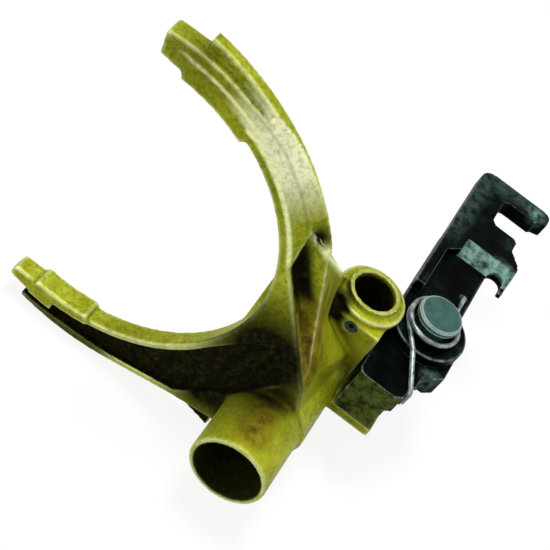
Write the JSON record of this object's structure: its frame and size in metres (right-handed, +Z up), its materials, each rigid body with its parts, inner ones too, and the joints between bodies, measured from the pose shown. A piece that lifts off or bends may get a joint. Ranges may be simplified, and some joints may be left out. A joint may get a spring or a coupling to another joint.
{
  "type": "shift fork",
  "caption": "Gearbox shift fork: bronze casting with two curved arms, wear shoes, rail bore and detent boss, and a sprung steel selector lever that pivots on a riveted bracket.",
  "frame": {"origin": "on the axis of the rail bore, in the middle plane of the fork arms", "axes": "+X along the rail bore towards the plain tube end, +Y from the fork mouth to the selector lever, +Z up the lever's pivot axis"},
  "size_m": [0.1135, 0.0964, 0.093],
  "materials": {
    "bronze": "as cast, with machined shoes, tube end and boss ring",
    "dark_steel": "dark oiled steel with worn light edges",
    "pin_steel": "plain satin steel",
    "spring_steel": "bright drawn wire"
  },
  "bodies": {
    "fork": {"fork_casting": "bronze", "cross_pin": "pin_steel", "selector_bracket": "dark_steel", "pivot_pin": "pin_steel", "torsion_spring": "spring_steel"},
    "lever": {"selector_lever": "dark_steel"}
  },
  "joints": [
    {"name": "lever_pivot", "type": "hinge", "parent": "fork", "child": "lever", "pos_m": [-0.036, 0.0187, 0.0157], "axis": [0, 0, -1], "range_deg": [0, 15], "stiffness_Nm_per_rad": 0.3, "springref_deg": -28.65, "deforming": ["torsion_spring"]}
  ]
}
